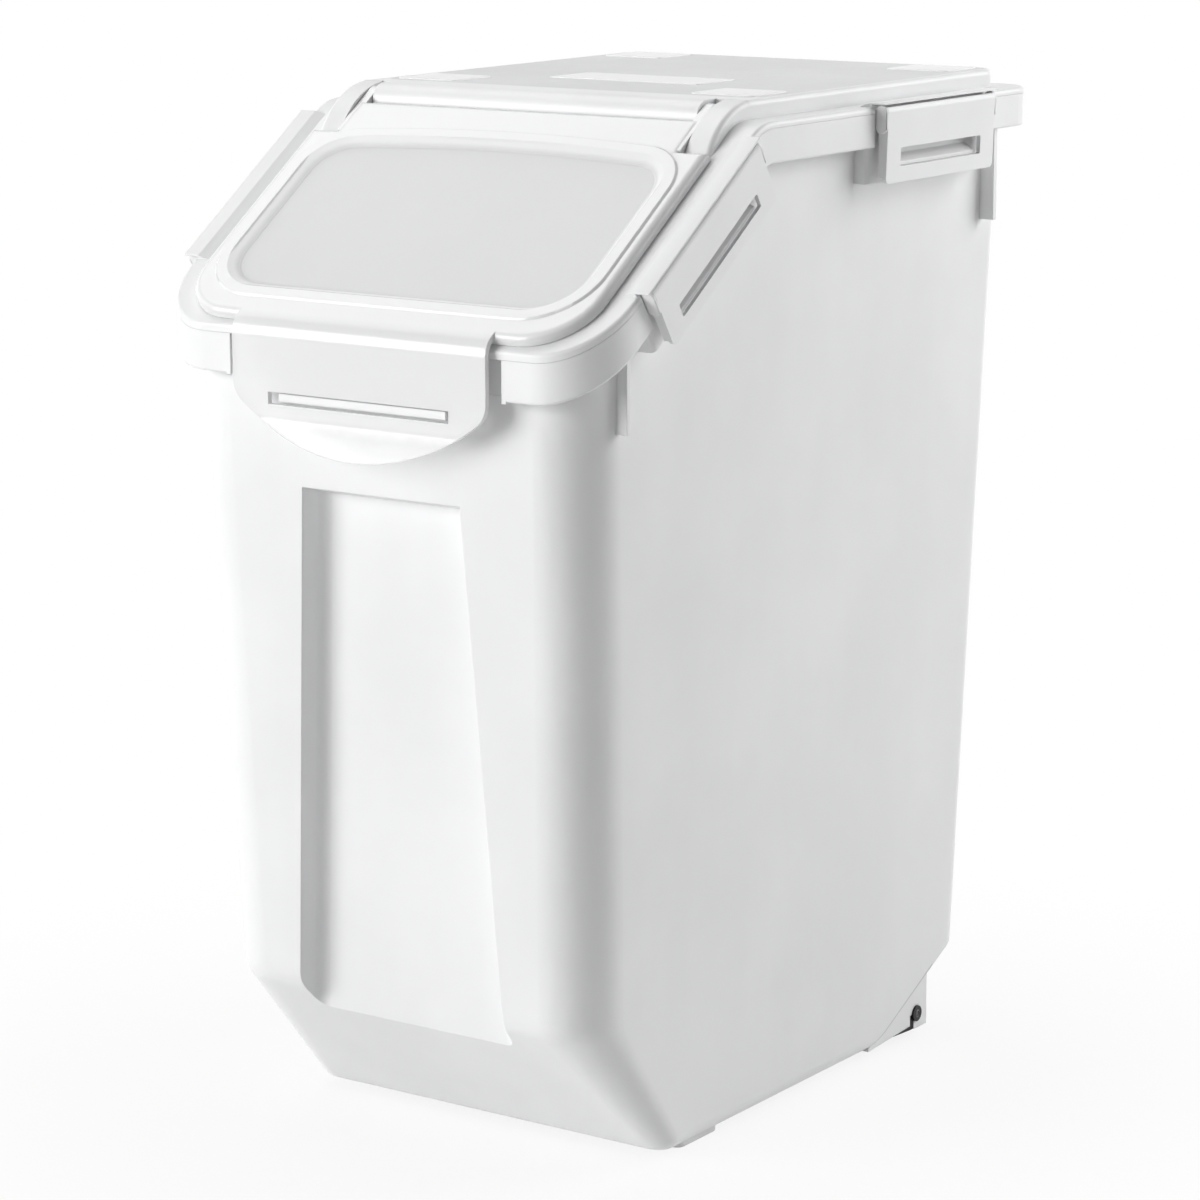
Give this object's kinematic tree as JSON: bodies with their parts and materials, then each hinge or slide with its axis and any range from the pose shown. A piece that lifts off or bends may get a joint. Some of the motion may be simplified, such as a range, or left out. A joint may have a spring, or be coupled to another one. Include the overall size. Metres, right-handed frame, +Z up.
{
  "type": "food storage bin",
  "caption": "Tall white dry-food bin with a lift-off lid held by side latches, a clear flip-up flap on its sloped front and small rear wheels.",
  "frame": {"origin": "on the floor, under the middle of the bin's outer box", "axes": "+Z up, +X to the bin's left as seen by someone facing its front, -Y out of the sloped front"},
  "size_m": [0.2564, 0.388, 0.4801],
  "materials": {
    "white_shell": "satin moulded polypropylene",
    "white_lid": "satin moulded polypropylene",
    "clear_flap": "clear moulded plastic",
    "white_latch": "smooth moulded plastic",
    "grey_mat": "fine matt grain",
    "white_pad": "soft matt",
    "white_label": "smooth and bare",
    "seal": "soft translucent silicone",
    "foot": "soft matt",
    "pin": "drawn",
    "axle": "black",
    "clip": "black",
    "wheel": "moulded",
    "tyre": "matt"
  },
  "bodies": {
    "tub": {"bin_body": "white_shell", "front_foot_right": "foot", "front_foot_left": "foot", "rear_axle": "axle", "axle_clip_right": "clip", "axle_clip_left": "clip"},
    "lid": {"lid_frame": "white_lid", "lid_seal": "seal", "top_mat": "grey_mat", "label_plate": "white_label", "front_pad_right": "white_pad", "front_pad_left": "white_pad", "rear_pad_right": "white_pad", "rear_pad_left": "white_pad", "hinge_pin_right": "pin", "hinge_pin_left": "pin"},
    "flap": {"front_flap": "clear_flap", "flap_seal": "seal"},
    "rear_latch_right": {"rear_latch_right": "white_latch"},
    "rear_latch_left": {"rear_latch_left": "white_latch"},
    "front_latch_right": {"front_latch_right": "white_latch"},
    "front_latch_left": {"front_latch_left": "white_latch"},
    "wheel_right": {"wheel_hub_right": "wheel", "wheel_tyre_right": "tyre"},
    "wheel_left": {"wheel_hub_left": "wheel", "wheel_tyre_left": "tyre"}
  },
  "joints": [
    {"name": "lid_lift", "type": "slide", "parent": "tub", "child": "lid", "axis": [0, 0, 1], "range_m": [0, 0.15]},
    {"name": "flap_hinge", "type": "hinge", "parent": "lid", "child": "flap", "pos_m": [0, -0.052, 0.4715], "axis": [-1, 0, 0], "range_deg": [0, 126]},
    {"name": "rear_latch_right_hinge", "type": "hinge", "parent": "lid", "child": "rear_latch_right", "pos_m": [0.125, 0.0913, 0.4686], "axis": [0, -1, 0], "range_deg": [0, 95]},
    {"name": "front_latch_right_hinge", "type": "hinge", "parent": "lid", "child": "front_latch_right", "pos_m": [0.125, -0.10738, 0.43277], "axis": [0, -0.8241, -0.5664], "range_deg": [0, 95]},
    {"name": "rear_latch_left_hinge", "type": "hinge", "parent": "lid", "child": "rear_latch_left", "pos_m": [-0.125, 0.0913, 0.4686], "axis": [0, 1, 0], "range_deg": [0, 95]},
    {"name": "front_latch_left_hinge", "type": "hinge", "parent": "lid", "child": "front_latch_left", "pos_m": [-0.125, -0.10738, 0.43277], "axis": [0, 0.8241, 0.5664], "range_deg": [0, 95]},
    {"name": "wheel_right_spin", "type": "hinge", "parent": "tub", "child": "wheel_right", "pos_m": [0.08, 0.1262, 0.012], "axis": [1, 0, 0], "continuous": true},
    {"name": "wheel_left_spin", "type": "hinge", "parent": "tub", "child": "wheel_left", "pos_m": [-0.08, 0.1262, 0.012], "axis": [1, 0, 0], "continuous": true}
  ]
}
